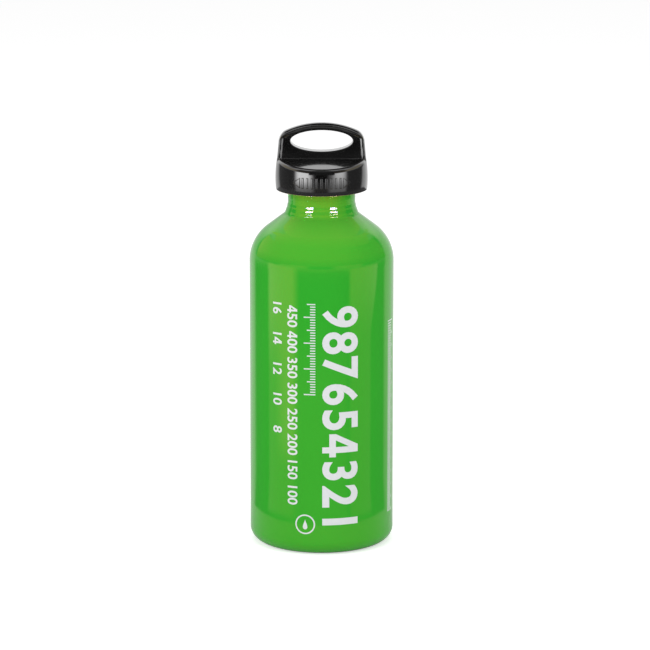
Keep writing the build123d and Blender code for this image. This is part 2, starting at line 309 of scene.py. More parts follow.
# %% The can itself
AROUND = 240
can_points, can_faces = turned(can_section, AROUND)
can = make_piece("fuel_can", can_points, can_faces, "bottle", "enamel")
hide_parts("bottle_shell")
lip_index = int(np.argmax(can_section[:, 1] * (can_section[:, 0] < BORE + 0.6)))
is_inside = np.zeros(len(can_points), np.float32)
is_inside[(lip_index - 1) * AROUND:-2] = 1
is_inside[-1] = 1
can.data.attributes.new("inside", "FLOAT", "POINT").data.foreach_set("value", is_inside)
print("bare metal from point", lip_index, "of the section on")

# %% [markdown]
# ## The thread in the neck
# A rolled thread is a ridge of one section carried up a helix. At both ends it runs out into the
# wall, so its height is multiplied by a factor that falls smoothly to nothing there.


# %% A ridge up a helix
def helix_ridge(base, crest, width, foot_width, start, pitch, turns, steps=64):
    """The section's points are (base + rise * (crest - base), height along the axis).

    The helix rises by the pitch in each turn; the rise is a smooth step over the last third turn."""
    count = int(turns * steps) + 1
    turn = np.linspace(0, turns, count)
    fade = np.clip(np.minimum(turn, turns - turn) / 0.3, 0, 1)
    fade = fade * fade * (3 - 2 * fade)
    rise = np.array([-0.3, 0, 0.5, 0.93, 1, 1, 0.93, 0.5, 0, -0.3])
    along = np.array([-1, -1, -0.5, -0.08, 0.12, 0.12, -0.08, -0.5, -1, -1])
    half = np.where(along < 0, width / 2 - along * (foot_width - width) / 2, width / 2 * (1 - along))
    side = np.array([-1] * 5 + [1] * 5)
    radius = base + np.where(rise > 0, rise * fade[:, None], rise) * (crest - base)
    height = start + pitch * turn[:, None] + side * half
    angle = 2 * np.pi * turn[:, None]
    points = np.stack([radius * np.cos(angle), radius * np.sin(angle), height], axis=2)
    poles = points[[0, -1]].mean(axis=1)
    return np.concatenate([points.reshape(-1, 3), poles]), tube_faces(count, len(rise))


ridge = helix_ridge(BORE, crest=13.4, width=0.97, foot_width=2.35, start=172.107, pitch=3.5, turns=2)
neck_thread = make_piece("neck_thread", *ridge, "bottle", "enamel")

# %% [markdown]
# ## The cap
# The cap is one moulding: a skirt, a shallow roof, and a loop whose faces are hollowed between thin
# borders, all with soft edges. Such a form is easiest as a field: a number at each point of space
# that is negative inside and positive outside, close to the distance to the surface. Two shapes are
# cut or joined by comparing their numbers, and a rounding is a small correction near the seam.


# %% Fields that cut and join with a rounding
def cut_to(a, b, radius):
    """What lies in both: the larger number, and within the radius of the edge an arc."""
    return np.minimum(-radius, np.maximum(a, b)) + np.hypot(
        np.maximum(a + radius, 0), np.maximum(b + radius, 0))


def joined(a, b, radius):
    """What lies in either: the smaller number, and within the radius of the seam a hollow arc."""
    return np.maximum(radius, np.minimum(a, b)) - np.hypot(
        np.maximum(radius - a, 0), np.maximum(radius - b, 0))


def smooth_step(value, low, high):
    """0 below low, 1 above high, and 3t squared minus 2t cubed in between."""
    t = np.clip((value - low) / (high - low), 0, 1)
    return t * t * (3 - 2 * t)


def circle_through(one, two, three):
    """Centre and radius of the circle through three points, from two linear equations."""
    one, two, three = (np.asarray(p, float) for p in (one, two, three))
    rows = 2 * np.array([two - one, three - one])
    centre = np.linalg.solve(rows, [two @ two - one @ one, three @ three - one @ one])
    return centre, np.linalg.norm(one - centre)


# Heights: the skirt's mouth and widest place, the ceiling over the plug, the roof's rim
MOUTH, BELLY, CEILING, RIM = 179.4, 186.0, 190.3, 192.4
# Half thicknesses of the loop's web and slab, half the loop's width, radii of the skirt and arch
WEB, SLAB, LOOP, SKIRT, ARCH = 3.6, 4.4, 21.05, 23.0, 44
ROOF, TOP_RADIUS = np.radians(8), 22.15
RIDGE = RIM + (SKIRT - WEB) * np.tan(ROOF)
WINDOW = RIDGE + 3.5 + 5.6
LOOP_TOP = WINDOW + 5.6 + 2.9
ARCH_END = LOOP_TOP - ARCH + np.sqrt(ARCH**2 - LOOP**2)
LEAN = (TOP_RADIUS - LOOP) / (ARCH_END - RIDGE)
belly_centre, belly_radius = circle_through((22.7, MOUTH), (SKIRT, BELLY), (TOP_RADIUS, RIDGE))
print("the skirt's belly has a radius of", round(belly_radius, 1), "mm")

# %% [markdown]
# ## Outside of the cap
# The skirt bulges a little, the roof falls 8 degrees to front and back, and the loop is as wide as
# the cap and only 8.8 mm thick. Each is a field of its own. Skirt, pillars and arch make an envelope,
# and roof and slab are cut to it, which gives all the outer edges one soft rounding.


# %% The field of the outside
def pillar_side(across, z):
    """Distance from the leaning line of the pillars, which runs through the arch's end."""
    return (across - LOOP - (ARCH_END - z) * LEAN) / np.hypot(1, LEAN)


def under_arch(side, across, z):
    """What lies within the side and under the flat arch, with the loop's 2.8 mm corners."""
    return cut_to(side, np.hypot(across, z - (LOOP_TOP - ARCH)) - ARCH, 2.8)


def cap_outside(x, y, z):
    """Skirt under its roof, together with the loop's slab, cut to the turned envelope."""
    r, ay = np.hypot(x, y), np.abs(y)
    belly = np.hypot(r - belly_centre[0], z - belly_centre[1]) - belly_radius
    side = np.where(z < RIDGE, belly, pillar_side(r, z))
    envelope = cut_to(under_arch(side, r, z), MOUTH - z, 0.45)
    roof = (z - RIM - (SKIRT - ay) * np.tan(ROOF)) * np.cos(ROOF)
    # The hollow between the loop's borders has sides at 63 degrees, with a soft inner corner
    inset = -under_arch(pillar_side(np.abs(x), z), np.abs(x), z)
    lean = np.radians(63)
    hollow_side = (1.0 + (SLAB - ay) * np.tan(lean) - inset) * np.cos(lean)
    hollow = cut_to(WEB - ay, hollow_side, 0.2)
    slab = cut_to(ay - SLAB, -hollow, 0.25)
    body = joined(roof, slab, 0.2)
    # The rim is round, the pillars are crisp, and the arch is crowned from front to back
    edge = 1.9 - 1.4 * smooth_step(z, 194.2, 197.0) + 3.1 * smooth_step(z, 204.5, 209.5)
    outside = cut_to(envelope, body, edge)
    # The window is an ellipse: (k - 1) over the length of k's slope is nearly a distance
    wide, tall, up = 15.45, 5.35, z - WINDOW + 0.25
    k = np.hypot(x / wide, up / tall)
    window = (k - 1) * k / (np.hypot(x / wide**2, up / tall**2) + 1e-9)
    return cut_to(outside, -window, 0.5)


print("half way up the skirt the field reads", cap_outside(SKIRT, 0.0, BELLY).round(4))

# %% [markdown]
# ## Inside of the cap
# Under the roof is the round room of the plug, with a groove for the split ring, a post within the
# spring, and eight face teeth that take the plug along when the cap is pressed. The teeth could be
# made one by one, but with the angle folded into an eighth of a turn one tooth stands for all.


# %% The field of the cap
def cap_teeth(x, y, z):
    """Eight face teeth: the angle is folded into one step, then planes bound a single tooth."""
    r, angle = np.hypot(x, y), np.arctan2(y, x)
    folded = (angle % (np.pi / 4)) - np.pi / 8
    along, across = r * np.cos(folded), r * np.sin(folded)
    down, deep, half = CEILING - z, 2.5, 1.8
    ramp = (across - half + 1.1 * down / deep) * 0.915
    block = np.maximum(np.abs(along - 16.125) - 2.875, np.maximum(-half - across, ramp))
    return cut_to(block, down - deep, 0.15)


def cap_field(x, y, z):
    """The outside, less the plug's room and the ring's groove, plus the spring's post and teeth."""
    r = np.hypot(x, y)
    post = cut_to(r - 7.25, 187.3 - z, 0.3)
    room = np.maximum(cut_to(r - 20.4, z - CEILING, 1.0), -np.minimum(post, cap_teeth(x, y, z)))
    groove = np.maximum(r - 21.35, np.abs(z - 181.7) - 0.75)
    return np.maximum(cut_to(cap_outside(x, y, z), -room, 0.25), -groove)


print("in the middle of the plug's room it reads", cap_field(0.0, 10.0, 185.0).round(2))

# %% [markdown]
# ## From the field to a skin
# Boolean modifiers and bevels could build the same form, but they fail easily where soft edges meet.
# Here the field is read on a grid of 0.38 mm cells, and a skin of quads is laid where it changes its
# sign. Such a skin is closed by its making, whatever the shape.


# %% A skin where the field passes zero
def skin_of(field, low, high, cell):
    """A closed skin of quads where the field passes zero.

    Each cell that the surface crosses holds one point, the mean of the crossings on its edges, and
    each crossed edge of the grid joins the four cells round it. Then every point moves to the
    surface along the field's slope, by the field's value over that slope."""
    low, high = np.asarray(low, float), np.asarray(high, float)
    axes = [np.arange(a, b + cell, cell) for a, b in zip(low, high)]
    value = field(*np.meshgrid(*axes, indexing="ij")).astype(np.float32)
    shape = np.array(value.shape) - 1
    total, count = np.zeros((*shape, 3), np.float32), np.zeros(shape, np.float32)
    crossings = []
    for axis in range(3):
        near = np.moveaxis(value, axis, 0)
        here, there = near[:-1], near[1:]
        crossed = (here < 0) != (there < 0)
        with np.errstate(divide="ignore", invalid="ignore"):
            share = np.where(crossed, here / (here - there), 0).astype(np.float32)
        crossed, share = np.moveaxis(crossed, 0, axis), np.moveaxis(share, 0, axis)
        outward = np.moveaxis((here < 0) & (there >= 0), 0, axis)
        other = [a for a in range(3) if a != axis]
        for one in (0, 1):
            for two in (0, 1):
                pick = [slice(None)] * 3
                pick[other[0]] = slice(one, shape[other[0]] + one)
                pick[other[1]] = slice(two, shape[other[1]] + two)
                mask = crossed[tuple(pick)]
                count += mask
                for a, offset in ((axis, share[tuple(pick)]), (other[0], one), (other[1], two)):
                    total[..., a] += mask * offset
        crossings.append((crossed, outward))
    active = count > 0
    number = np.full(shape, -1, np.int64)
    number[active] = np.arange(active.sum())
    corner = np.stack(np.nonzero(active), axis=1)
    points = low + cell * (corner + total[active] / count[active][:, None])
    faces = []
    for axis, (crossed, outward) in enumerate(crossings):
        one, two = [(1, 2), (2, 0), (0, 1)][axis]
        place = np.stack(np.nonzero(crossed), axis=1)
        keep = (place[:, one] > 0) & (place[:, two] > 0)
        keep &= (place[:, one] < shape[one]) & (place[:, two] < shape[two])
        place = place[keep]
        back, down = np.eye(3, dtype=int)[[one, two]]
        cells = [place, place - back, place - back - down, place - down]
        quad = np.stack([number[tuple(cell_place.T)] for cell_place in cells], axis=1)
        flip = outward[tuple(place.T)]
        faces.append(np.where(flip[:, None], quad, quad[:, ::-1]))
    for _ in range(3):
        points, slope = settle(field, points, cell)
    return points, np.concatenate(faces), slope


def settle(field, points, cell):
    """Moves points to the surface: point minus value times slope over the slope's square.

    The slope is the difference of the field 0.01 mm to each side, and no step passes half a cell."""
    h = 0.01
    both = [field(*(points + s).T) - field(*(points - s).T) for s in np.eye(3) * h]
    slope = np.stack(both, axis=1) / (2 * h)
    square = np.maximum((slope**2).sum(axis=1), 0.1)
    move = -slope * (field(*points.T) / square)[:, None]
    length = np.maximum(np.linalg.norm(move, axis=1, keepdims=True), 1e-9)
    return points + move * np.minimum(1, 0.5 * cell / length), slope


cap_points, cap_faces, cap_slope = skin_of(
    cap_field, low=(-23.6, -23.6, 178.57), high=(23.9, 23.9, 213.5), cell=0.38)
print("cap skin:", len(cap_points), "points,", len(cap_faces) * 2, "triangles")

# %% [markdown]
# ## The cap in place
# Shading from the mean of the faces is a little uneven where an edge crosses the cells. The field's
# slope is the true direction of the surface, so it is stored as the piece's normals.

# %% The cap's piece
cap = make_piece("cap_moulding", cap_points, cap_faces, "cap", "cap")
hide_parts("cap_shell")
normals = cap_slope / np.linalg.norm(cap_slope, axis=1, keepdims=True)
cap.data.normals_split_custom_set_from_vertices(normals.astype(np.float32))
print("cap box", cap_points.min(axis=0).round(2), cap_points.max(axis=0).round(2))

# %% [markdown]
# ## Raised marks
# The skirt carries raised marks in front and behind: nine upright ribs for the fingers, between two
# arrowheads that point the way to turn. They could be a bump in the finish, but a bump has no outline
# of its own. Each is a small closed pillow that follows the belly's curve, its back sunk in the skirt.


# %% Ribs and arrowheads on the skirt
MARKS, HALF, RISE, ROLL, ARROW = 185.8, 2.7, 0.35, 0.3, 4.4


def belly_at(z):
    """Radius of the skirt at a height, on the belly's circle."""
    return belly_centre[0] + np.sqrt(belly_radius**2 - (z - belly_centre[1]) ** 2)


def on_skirt(turn, z, inset):
    """Two layers of a mark, at angles and heights on the skirt. The front rises over the skirt, and
    rolls off along a quarter circle where the inset from the outline is small; the back is sunk."""
    rise = RISE * np.sqrt(1 - (1 - np.clip(inset / ROLL, 0, 1)) ** 2)
    return [np.stack([layer * np.cos(turn), layer * np.sin(turn), z], axis=2).reshape(-1, 3)
            for layer in (belly_at(z) + rise, belly_at(z) - 0.3)]


def rib_marks(angles, half_wide=0.55):
    """Upright ribs: the inset is the smaller of the distances to their sides and ends."""
    u = half_wide * np.array([-1, -0.93, -0.8, -0.6, -0.3, 0, 0.3, 0.6, 0.8, 0.93, 1])
    v = HALF * np.array([-1, -0.985, -0.95, -0.9, -0.8, -0.4, 0, 0.4, 0.8, 0.9, 0.95, 0.985, 1])
    uu, vv = np.meshgrid(u, v, indexing="ij")
    inset = np.minimum(half_wide - np.abs(uu), HALF - np.abs(vv))
    layers = [on_skirt(angle + uu / SKIRT, MARKS + vv, inset) for angle in angles]
    return shell_between(sum(layers, []), *uu.shape)


def shell_between(layers, rows, columns):
    """Closed faces between pairs of grids, the first of each pair being the outer one."""
    size = rows * columns
    front = grid_faces(rows, columns)
    edge = np.concatenate([
        np.arange(columns),
        np.arange(1, rows) * columns + columns - 1,
        (rows - 1) * columns + np.arange(columns - 2, -1, -1),
        np.arange(rows - 2, 0, -1) * columns,
    ])
    following = np.roll(edge, -1)
    rim = np.stack([edge, following, following + size, edge + size], axis=1)
    one = np.concatenate([front, front[:, ::-1] + size, rim])
    count = len(layers) // 2
    faces = (one[None] + (np.arange(count) * 2 * size)[:, None, None]).reshape(-1, 4)
    return np.concatenate(layers), faces


rib_turns = np.radians(6 * (np.arange(9) - 4.0))
both_sides = np.concatenate([rib_turns - np.pi / 2, rib_turns + np.pi / 2])
ribs = make_piece("grip_ribs", *rib_marks(both_sides), "cap", "cap")


def arrow_marks():
    """Arrowheads: the half height falls evenly from the foot to the tip."""
    u = np.concatenate([[0, 0.02, 0.06, 0.12], np.linspace(0.2, 0.92, 10), [0.97, 0.995]])
    v = np.array([-1, -0.97, -0.9, -0.75, -0.5, 0, 0.5, 0.75, 0.9, 0.97, 1])
    uu, vv = np.meshgrid(u, v, indexing="ij")
    half = HALF * (1 - uu)
    inset = np.minimum(uu * ARROW, (half - np.abs(vv) * half) * 0.85)
    layers = []
    for side in (-1, 1):
        for way in (-1, 1):
            turn = side * np.pi / 2 + way * (np.radians(33) - ARROW / 2 / SKIRT + uu * ARROW / SKIRT)
            layers += on_skirt(turn, MARKS + vv * half * way, inset)
    return shell_between(layers, *uu.shape)


arrows = make_piece("turn_arrows", *arrow_marks(), "cap", "cap")

# %% [markdown]
# ## The lift spring
# A steel spring between the plug and the cap holds the face teeth apart, and shortens by 2.2 mm when
# the cap is pressed. It is a tube along a helix whose first and last turns lie close, as a coiled
# spring's do. One mesh stands for the CAD spring, and rides on the plug, where it has its seat.


# %% A coil with close end turns
SEAT, COIL, WIRE, PRESS = 181.2, 8.8, 0.5, 2.2


def coil_spring(turns=4.5, steps=48, around=14):
    """Centre line: (R cos a, R sin a, z), where z gathers a pitch that is the wire's width in the
    end turns and grows smoothly to the open pitch between them. Round it runs a circle of the wire's
    radius, in the plane of the radial direction and the line's second normal."""
    turn = np.linspace(0, turns, int(turns * steps) + 1)
    opened = smooth_step(turn, 0.5, 1.1) * (1 - smooth_step(turn, turns - 1.1, turns - 0.5))
    share = np.concatenate([[0], np.cumsum((opened[1:] + opened[:-1]) / 2)]) / steps
    close = 2 * WIRE * 1.02
    z = SEAT + WIRE + close * turn + (CEILING - SEAT - 2 * WIRE - close * turns) * share / share[-1]
    angle = 2 * np.pi * turn
    radial = np.stack([np.cos(angle), np.sin(angle), 0 * angle], axis=1)
    centre = COIL * radial + np.stack([0 * z, 0 * z, z], axis=1)
    along = np.gradient(centre, axis=0)
    along /= np.linalg.norm(along, axis=1, keepdims=True)
    normal = np.cross(along, radial)
    ring = np.arange(around) * 2 * np.pi / around
    points = centre[:, None] + WIRE * (
        np.cos(ring)[:, None] * radial[:, None] + np.sin(ring)[:, None] * normal[:, None])
    points = np.concatenate([points.reshape(-1, 3), centre[[0, -1]]])
    return points, tube_faces(len(turn), around)


spring_points, spring_faces = coil_spring()
spring = make_piece("coil_spring", spring_points, spring_faces, "plug", "spring")
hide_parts("lift_spring")
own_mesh(spring)
print("spring box", spring_points.min(axis=0).round(2), spring_points.max(axis=0).round(2))

# %% [markdown]
# ## Printed scale
# The printing is white ink, screened onto the enamel a few hundredths of a millimetre thick. It could
# be a mask in the material, but a print made of faces keeps its sharp edges at any distance. It is a
# plain filling scale: a large numeral for each 50 millilitres, two columns of small numbers, ruled
# marks, and a ring with a drop. It is drawn flat, cut across every 1.5 mm, and carried round the can.


# %% Ink that follows the can
def wrapped(flat_x, flat_z, lift):
    """Carries a flat drawing round the can: the angle is x over the radius, from the front."""
    radius = BODY + lift
    angle = flat_x / BODY - np.pi / 2
    return np.stack([radius * np.cos(angle), radius * np.sin(angle), flat_z], axis=-1)


def turned_round(faces):
    """The same quads and triangles, looked at from behind."""
    triangle = (faces[:, 2] == faces[:, 3])[:, None]
    return np.where(triangle, faces[:, [1, 0, 2, 2]], faces[:, [0, 3, 2, 1]])


def ink_film(name, flat, faces):
    """A closed film from a flat drawing of quads: its front stands 0.03 mm proud, its back lies
    0.05 mm under the enamel, and a side runs along every edge that only one face has.

    Faces that turn right are turned round first, by the sign of their area."""
    a, b, c = (flat[faces[:, n]] for n in range(3))
    area = (b[:, 0] - a[:, 0]) * (c[:, 1] - a[:, 1]) - (b[:, 1] - a[:, 1]) * (c[:, 0] - a[:, 0])
    faces = np.where((area < 0)[:, None], turned_round(faces), faces)
    edges = np.stack([faces.ravel(), np.roll(faces, -1, axis=1).ravel()], axis=1)
    edges = edges[edges[:, 0] != edges[:, 1]]
    size = len(flat)
    key, back_key = edges[:, 0] * size + edges[:, 1], edges[:, 1] * size + edges[:, 0]
    rim = edges[~np.isin(key, back_key)]
    sides = np.stack([rim[:, 1], rim[:, 0], rim[:, 0] + size, rim[:, 1] + size], axis=1)
    points = np.concatenate([wrapped(*flat.T, 0.03), wrapped(*flat.T, -0.05)])
    faces = np.concatenate([faces, turned_round(faces) + size, sides])
    film = make_piece(name, points, faces, "bottle", "enamel")
    film.data.set_sharp_from_angle(angle=0.7)
    return film


print("ink helpers ready")

# %% [markdown]
# ## Numerals
# Printed numerals are a little swollen, since ink spreads. Each digit comes from Blender's own font,
# made bolder and filled with faces. They are joined to a row, turned to read downwards, and cut into
# strips that can bend round the can.


# %% Numerals
STRIP, ADVANCE, TALL = 1.5, 0.5, 0.69
FOUR = np.array([
    (0.56, 0), (0.82, 0), (0.82, 0.19), (0.56, 0.19), (0, 0.19), (1, 0.19), (1, 0.37), (0.82, 0.37),
    (0.56, 0.37), (0.27, 0.37), (0, 0.37), (0.56, 0.735), (0.5, 1), (0.82, 1)])
FOUR_FACES = [(0, 1, 2, 3), (4, 3, 9, 10), (3, 8, 9), (3, 2, 7, 8), (2, 5, 6, 7), (10, 9, 11, 12),
              (8, 7, 13, 11), (11, 13, 12)]


def figure(digit, weight):
    """Points and faces of one digit, made bolder by the weight. The font's own 4 and 9 don't fill
    well when they are made bolder: the 4 is drawn here, and the 9 is a 6 given half a turn."""
    if digit == "4":
        return FOUR * (0.46 + 2 * weight, TALL + 2 * weight) + (0.011 - weight, -weight), FOUR_FACES
    if digit == "9":
        points, faces = figure("6", weight)
        return (ADVANCE, TALL) - points, faces
    curve = bpy.data.curves.new("figure", "FONT")
    curve.body, curve.offset, curve.resolution_u, curve.fill_mode = digit, weight, 5, "FRONT"
    text = bpy.data.objects.new("figure", curve)
    scene.collection.objects.link(text)
    flat = bpy.data.meshes.new_from_object(text.evaluated_get(bpy.context.evaluated_depsgraph_get()))
    points = np.array([corner.co[:2] for corner in flat.vertices])
    faces = [tuple(face.vertices) for face in flat.polygons]
    bpy.data.objects.remove(text)
    bpy.data.curves.remove(curve)
    bpy.data.meshes.remove(flat)
    return points, faces


def numerals(rows):
    """Numbers that read downwards. Each row gives its digits, left edge, height of the figures,
    middle height on the can, width for height, and weight."""
    made = bmesh.new()
    for words, left, tall, middle, wide, weight in rows:
        figures = [figure(digit, weight) for digit in words]
        co = np.concatenate([points + (ADVANCE * n, 0) for n, (points, _) in enumerate(figures)])
        low, high = co.min(axis=0), co.max(axis=0)
        scale = tall / (high[1] - low[1])
        # A quarter turn to the right: what ran up in the text runs to the right on the can
        across = left + (co[:, 1] - low[1]) * scale
        up = middle - (co[:, 0] - (low[0] + high[0]) / 2) * scale * wide
        corners = [made.verts.new((x, z, 0)) for x, z in zip(across, up)]
        first = 0
        for points, faces in figures:
            for face in faces:
                made.faces.new([corners[first + n] for n in face])
            first += len(points)
    bmesh.ops.remove_doubles(made, verts=made.verts, dist=0.02)
    bmesh.ops.dissolve_degenerate(made, edges=made.edges, dist=0.01)
    edges = [v.co.x for v in made.verts]
    for cut in np.arange(min(edges) + STRIP, max(edges), STRIP):
        bmesh.ops.bisect_plane(made, geom=made.verts[:] + made.edges[:] + made.faces[:],
                               plane_co=(cut, 0, 0), plane_no=(1, 0, 0), dist=1e-4)
    bmesh.ops.dissolve_degenerate(made, edges=made.edges, dist=0.005)
    bmesh.ops.triangulate(made, faces=made.faces)
    bmesh.ops.delete(made, geom=[v for v in made.verts if not v.link_faces], context="VERTS")
    made.verts.index_update()
    flat = np.array([v.co[:2] for v in made.verts])
    faces = np.array([[v.index for v in f.verts] for f in made.faces])
    made.free()
    return flat, np.column_stack([faces, faces[:, 2]])


first, step = 4.6, 13.0
large = [(str(n), 0.3, 18.4, first + step * n, 0.93, 0.024) for n in range(1, 10)]
large_figures = ink_film("large_figures", *numerals(large))
small = [(str(50 * n), -17.6, 5.4, first + step * n, 1.0, 0.018) for n in range(2, 10)]
small += [(str(n), -26.2, 5.4, 2.0 + 7.68 * n, 1.0, 0.018) for n in range(8, 17, 2)]
small_figures = ink_film("small_figures", *numerals(small))

# %% [markdown]
# ## Ruled marks
# A scale is ruled in equal steps, with each fifth and tenth mark longer. An array modifier could
# repeat one mark, but these differ in length, so a list of rectangles is written by a rule.


# %% Ruled marks
def ruled_marks(marks):
    """Rectangles (left, right, bottom, top), each cut into quads no wider than a strip."""
    flat, faces = [], []
    for left, right, bottom, top in marks:
        across = np.linspace(left, right, int(np.ceil((right - left) / STRIP)) + 1)
        xx, zz = np.meshgrid(across, [bottom, top], indexing="ij")
        faces.append(grid_faces(len(across), 2) + sum(len(f) for f in flat))
        flat.append(np.stack([xx.ravel(), zz.ravel()], axis=1))
    return np.concatenate(flat), np.concatenate(faces)


right_end, left_end, pitch = -3.1, 41.6, 1.3
fine = [(right_end - (5.8 if n % 10 == 0 else 4.2 if n % 5 == 0 else 2.6), right_end,
         z - 0.28, z + 0.28) for n, z in enumerate(82.6 + pitch * np.arange(36))]
edge_rule = [(left_end, left_end + (6.4 if n % 5 == 0 else 4.4), z - 0.3, z + 0.3)
             for n, z in enumerate(17.6 + pitch * np.arange(76))]
ruled = ink_film("ruled_marks", *ruled_marks(fine + edge_rule))


# %% [markdown]
# ## Ring and drop
# A drop in a ring is a common sign for a liquid. Both are grids in polar form: two circles make the
# ring, and three copies of the drop's outline, smaller and smaller about one point, fill the drop.


# %% Ring and drop
def drop_outline(t):
    """A drop: across is sin t times the square of sin (t/2), up is cos t."""
    return 1.75 * np.sin(t) * np.sin(t / 2) ** 2, 2.6 * np.cos(t)


ROUND = 96
here = np.arange(ROUND)
turns = here * 2 * np.pi / ROUND
circle, drop = np.stack([np.cos(turns), np.sin(turns)], axis=1), np.stack(drop_outline(turns), axis=1)
badge_flat = np.concatenate([circle * r for r in (5.05, 4.35)] + [drop * r for r in (1, 0.6, 0.2)]
                            + [[[0, 0]]]) + np.array([-8.3, 16.2])
drop_faces = grid_faces(3, ROUND, wrap_columns=True) + 2 * ROUND
inmost, middle = 4 * ROUND, 5 * ROUND
tip = np.stack([inmost + here, inmost + (here + 1) % ROUND, middle + 0 * here, middle + 0 * here], axis=1)
badge_faces = np.concatenate([grid_faces(2, ROUND, wrap_columns=True), drop_faces, tip])
badge = ink_film("ring_and_drop", badge_flat, badge_faces)

# %% [markdown]
# ## Green enamel
# Sprayed enamel, baked to a gloss: a deep green that mirrors the room, with a faint orange peel. An
# image of paint would repeat and blur, so noise stands for it: a wide one moves the green and the
# gloss, a fine one lifts the surface. Where the can's own number says so, it is bare aluminium.

# %% Green enamel, and bare metal inside
enamel, wire, shader = paint("green_enamel")
place = wire.add("TexCoord", out=3)
peel = wire.add("TexNoise", {"noise_dimensions": "3D"}, {"Vector": place, "Scale": 900.0, "Detail": 2.0})
cloud = wire.add("TexNoise", None, {"Vector": place, "Scale": 26.0, "Detail": 3.0, "Roughness": 0.55})
bare = wire.add("Attribute", {"attribute_name": "inside"}, out=2)
green = cloud.mix((0.0245, 0.335, 0.022, 1), (0.0285, 0.352, 0.025, 1))
aluminium = (0.62, 0.63, 0.64, 1)
tint = bare.ramp(0.4, 0.6).mix(green, aluminium)
bump = wire.add("Bump", None, {"Strength": 0.016, "Distance": 0.0004, "Height": peel})
plug_in(shader, Base_Color=tint, Metallic=bare.ramp(0.4, 0.6), Normal=bump,
        Roughness=0.06 + cloud * 0.05 + bare.ramp(0.4, 0.6) * 0.24, Specular_Tint=(1, 0.5, 0.05, 1),
        Coat_Weight=0.12, Coat_Roughness=0.04)
can.data.materials.append(enamel)
neck_thread.data.materials.append(enamel)
print(enamel.name, len(enamel.node_tree.nodes), "nodes")

# %% [markdown]
# ## Black plastic
# The cap comes from a polished tool: nearly black, with sharp reflections. A rough black alone would
# look like rubber, so a clear coat carries the sharp lights, and noise keeps them a little uneven.

# %% Moulded black plastic
plastic, wire, shader = paint("black_moulding")
place = wire.add("TexCoord", out=3)
grain = wire.add("TexNoise", None, {"Vector": place, "Scale": 2600.0, "Detail": 2.0})
flow = wire.add("TexNoise", None, {"Vector": place, "Scale": 60.0, "Detail": 3.0})
bump = wire.add("Bump", None, {"Strength": 0.06, "Distance": 0.0002, "Height": grain})
plug_in(shader, Base_Color=flow.mix(grey(0.0022), grey(0.005)), Roughness=0.12 + flow * 0.05, Normal=bump,
        Coat_Weight=1.0, Coat_Roughness=0.07)
for made in (cap, ribs, arrows):
    made.data.materials.append(plastic)
print(plastic.name, len(plastic.node_tree.nodes), "nodes")

# %% [markdown]
# ## White ink
# Screen ink dries dull beside the enamel, and a little uneven. One noise is enough for both its
# colour and its roughness.

# %% White ink
ink, wire, shader = paint("white_ink")
place = wire.add("TexCoord", out=3)
speck = wire.add("TexNoise", None, {"Vector": place, "Scale": 700.0, "Detail": 3.0})
plug_in(shader, Base_Color=speck.mix((0.60, 0.61, 0.625, 1), (0.66, 0.67, 0.685, 1)),
        Roughness=0.3 + speck * 0.15)
for made in (large_figures, small_figures, ruled, badge):
    made.data.materials.append(ink)
print(ink.name, len(ink.node_tree.nodes), "nodes")

# %% [markdown]
# ## Hidden parts
# Under the cap lie a rubber seal, a plug of dark plastic, a steel spring and a nylon ring, which show
# when it is lifted. One function with other colours makes all four, and the steel's noise is drawn
# out in lines, as on wire.


# %% Rubber, plug, spring and ring
def fine_finish(name, made, dark, light, rough, metal, scale, stretch=(1, 1, 1)):
    """Two close colours in a fine noise over a wide one; stretch draws the fine noise out in lines."""
    finish, wire, shader = paint(name)
    place = wire.add("TexCoord", out=3)
    drawn = wire.add("Mapping", None, {"Vector": place, "Scale": stretch})
    fine = wire.add("TexNoise", None, {"Vector": drawn, "Scale": scale, "Detail": 3.0})
    wide = wire.add("TexNoise", None, {"Vector": place, "Scale": 90.0, "Detail": 2.0})
    bump = wire.add("Bump", None, {"Strength": 0.1, "Distance": 0.0002, "Height": fine})
    plug_in(shader, Base_Color=(fine * 0.6 + wide * 0.4).mix(dark, light), Metallic=metal, Normal=bump,
            Roughness=rough + fine * 0.1 + wide * 0.08)
    made.data.materials.clear()
    made.data.materials.append(finish)
    print(name, "on", made.name)


fine_finish("black_rubber", nodes["plug_gasket"], grey(0.012), grey(0.024), 0.5, 0.0, 900.0)
fine_finish("grey_plug", nodes["threaded_plug"], grey(0.02), grey(0.034), 0.34, 0.0, 1200.0)
fine_finish("spring_wire", spring, grey(0.42), grey(0.58), 0.18, 1.0, 700.0, (1, 1, 5))
fine_finish("pale_nylon", nodes["retaining_ring"], (0.58, 0.57, 0.52, 1), (0.70, 0.69, 0.64, 1),
            0.4, 0.0, 500.0)

# %% [markdown]
# ## Floor and world
# The bottle stands on white paper with no edge to be seen. A floor lit by lamps alone would be grey,
# so this one glows for the camera and is matt for all other light, in a white world.


# %% White floor and world
def seen_rays(wire):
    """1 for rays that show something as it is, direct, mirrored or through glass; 1 for mirrored."""
    rays = wire.add("LightPath")
    glossy, through = (Wire(wire.tree, rays.socket.node.outputs[f"Is {kind} Ray"])
                       for kind in ("Glossy", "Transmission"))
    return wire.sum_up("MAXIMUM", rays, wire.sum_up("MAXIMUM", glossy, through)), glossy


